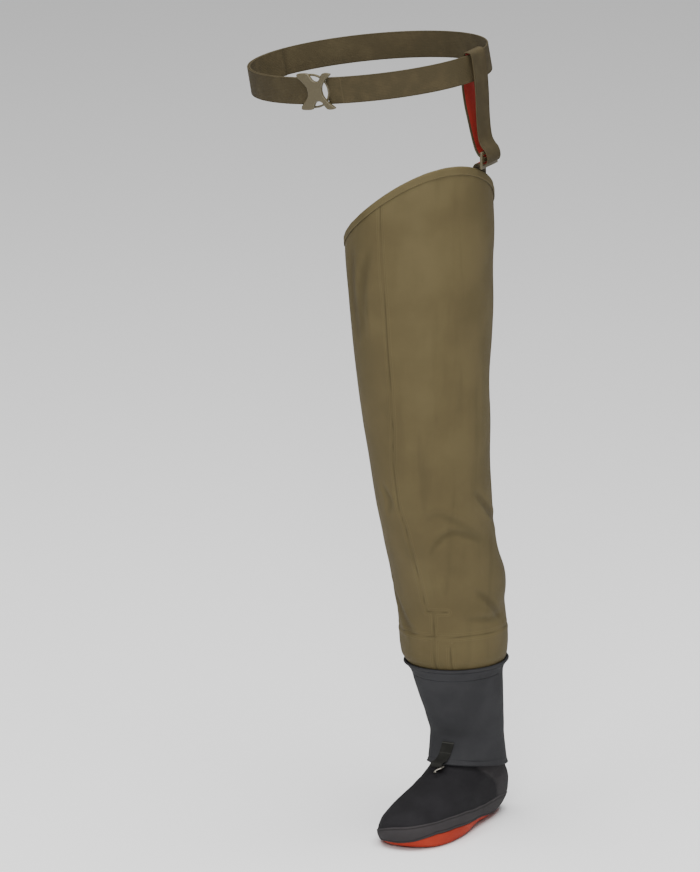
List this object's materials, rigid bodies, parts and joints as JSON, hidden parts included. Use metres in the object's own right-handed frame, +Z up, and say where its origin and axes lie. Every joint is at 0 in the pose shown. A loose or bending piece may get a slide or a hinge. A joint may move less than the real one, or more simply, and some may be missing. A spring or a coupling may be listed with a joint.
{
  "type": "hip wader",
  "caption": "Left stocking-foot hip wader: tall cloth leg, neoprene foot with a red sole, gravel guard with a lace hook, and a strap that hangs from a buckled waist belt.",
  "frame": {"origin": "on the floor, under the middle of the heel's flat spot", "axes": "+Z up the leg, -Y towards the toe, +X towards the outer side of the left leg"},
  "size_m": [0.3899, 0.295, 1.1091],
  "materials": {
    "sole": "red-orange knit-faced neoprene",
    "foot": "dark knit-faced neoprene",
    "rand": "charcoal neoprene",
    "shaft": "olive laminated nylon, matt",
    "gravel_guard": "charcoal knit-faced neoprene",
    "top_binding": "folded olive hem",
    "anchor_patch": "black webbing patch",
    "ladder_lock": "black moulded adjuster",
    "suspender_strap": "olive webbing with a red reverse",
    "strap_slider": "olive moulded slider",
    "belt": "olive waist webbing",
    "belt_tail": "free end of the olive waist webbing",
    "buckle_socket": "olive moulded socket",
    "buckle_prongs": "olive moulded prongs",
    "guard_tab": "black webbing tab",
    "lace_hook": "bright bent wire"
  },
  "bodies": {
    "root": {"sole": "sole", "foot": "foot", "rand": "rand", "shaft": "shaft", "gravel_guard": "gravel_guard", "top_binding": "top_binding", "anchor_patch": "anchor_patch", "ladder_lock": "ladder_lock", "suspender_strap": "suspender_strap", "strap_slider": "strap_slider", "belt": "belt", "belt_tail": "belt_tail", "buckle_socket": "buckle_socket", "buckle_prongs": "buckle_prongs", "guard_tab": "guard_tab", "lace_hook": "lace_hook"}
  },
  "joints": []
}
